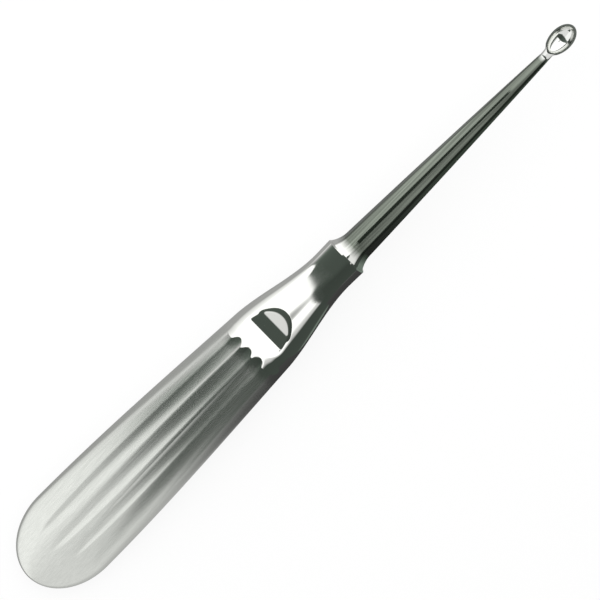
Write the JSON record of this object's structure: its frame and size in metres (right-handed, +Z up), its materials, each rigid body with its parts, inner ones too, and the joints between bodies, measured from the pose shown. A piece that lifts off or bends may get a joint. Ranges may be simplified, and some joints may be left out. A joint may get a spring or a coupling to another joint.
{
  "type": "bone curette",
  "caption": "One-piece steel bone curette: fluted handle with a thumb dish, tapered eight-sided shank and an oval scraping cup.",
  "frame": {"origin": "on the surface that the tool lies on, under the middle of its length and its width", "axes": "+X along the tool from the butt of the handle to the cup, +Z up, toward the thumb dish and the opening of the cup"},
  "size_m": [0.1698, 0.0216, 0.0127],
  "materials": {
    "steel": "satin stainless steel, ground and polished, brightest on the nose and inside the cup"
  },
  "bodies": {
    "root": {"curette": "steel"}
  },
  "joints": []
}
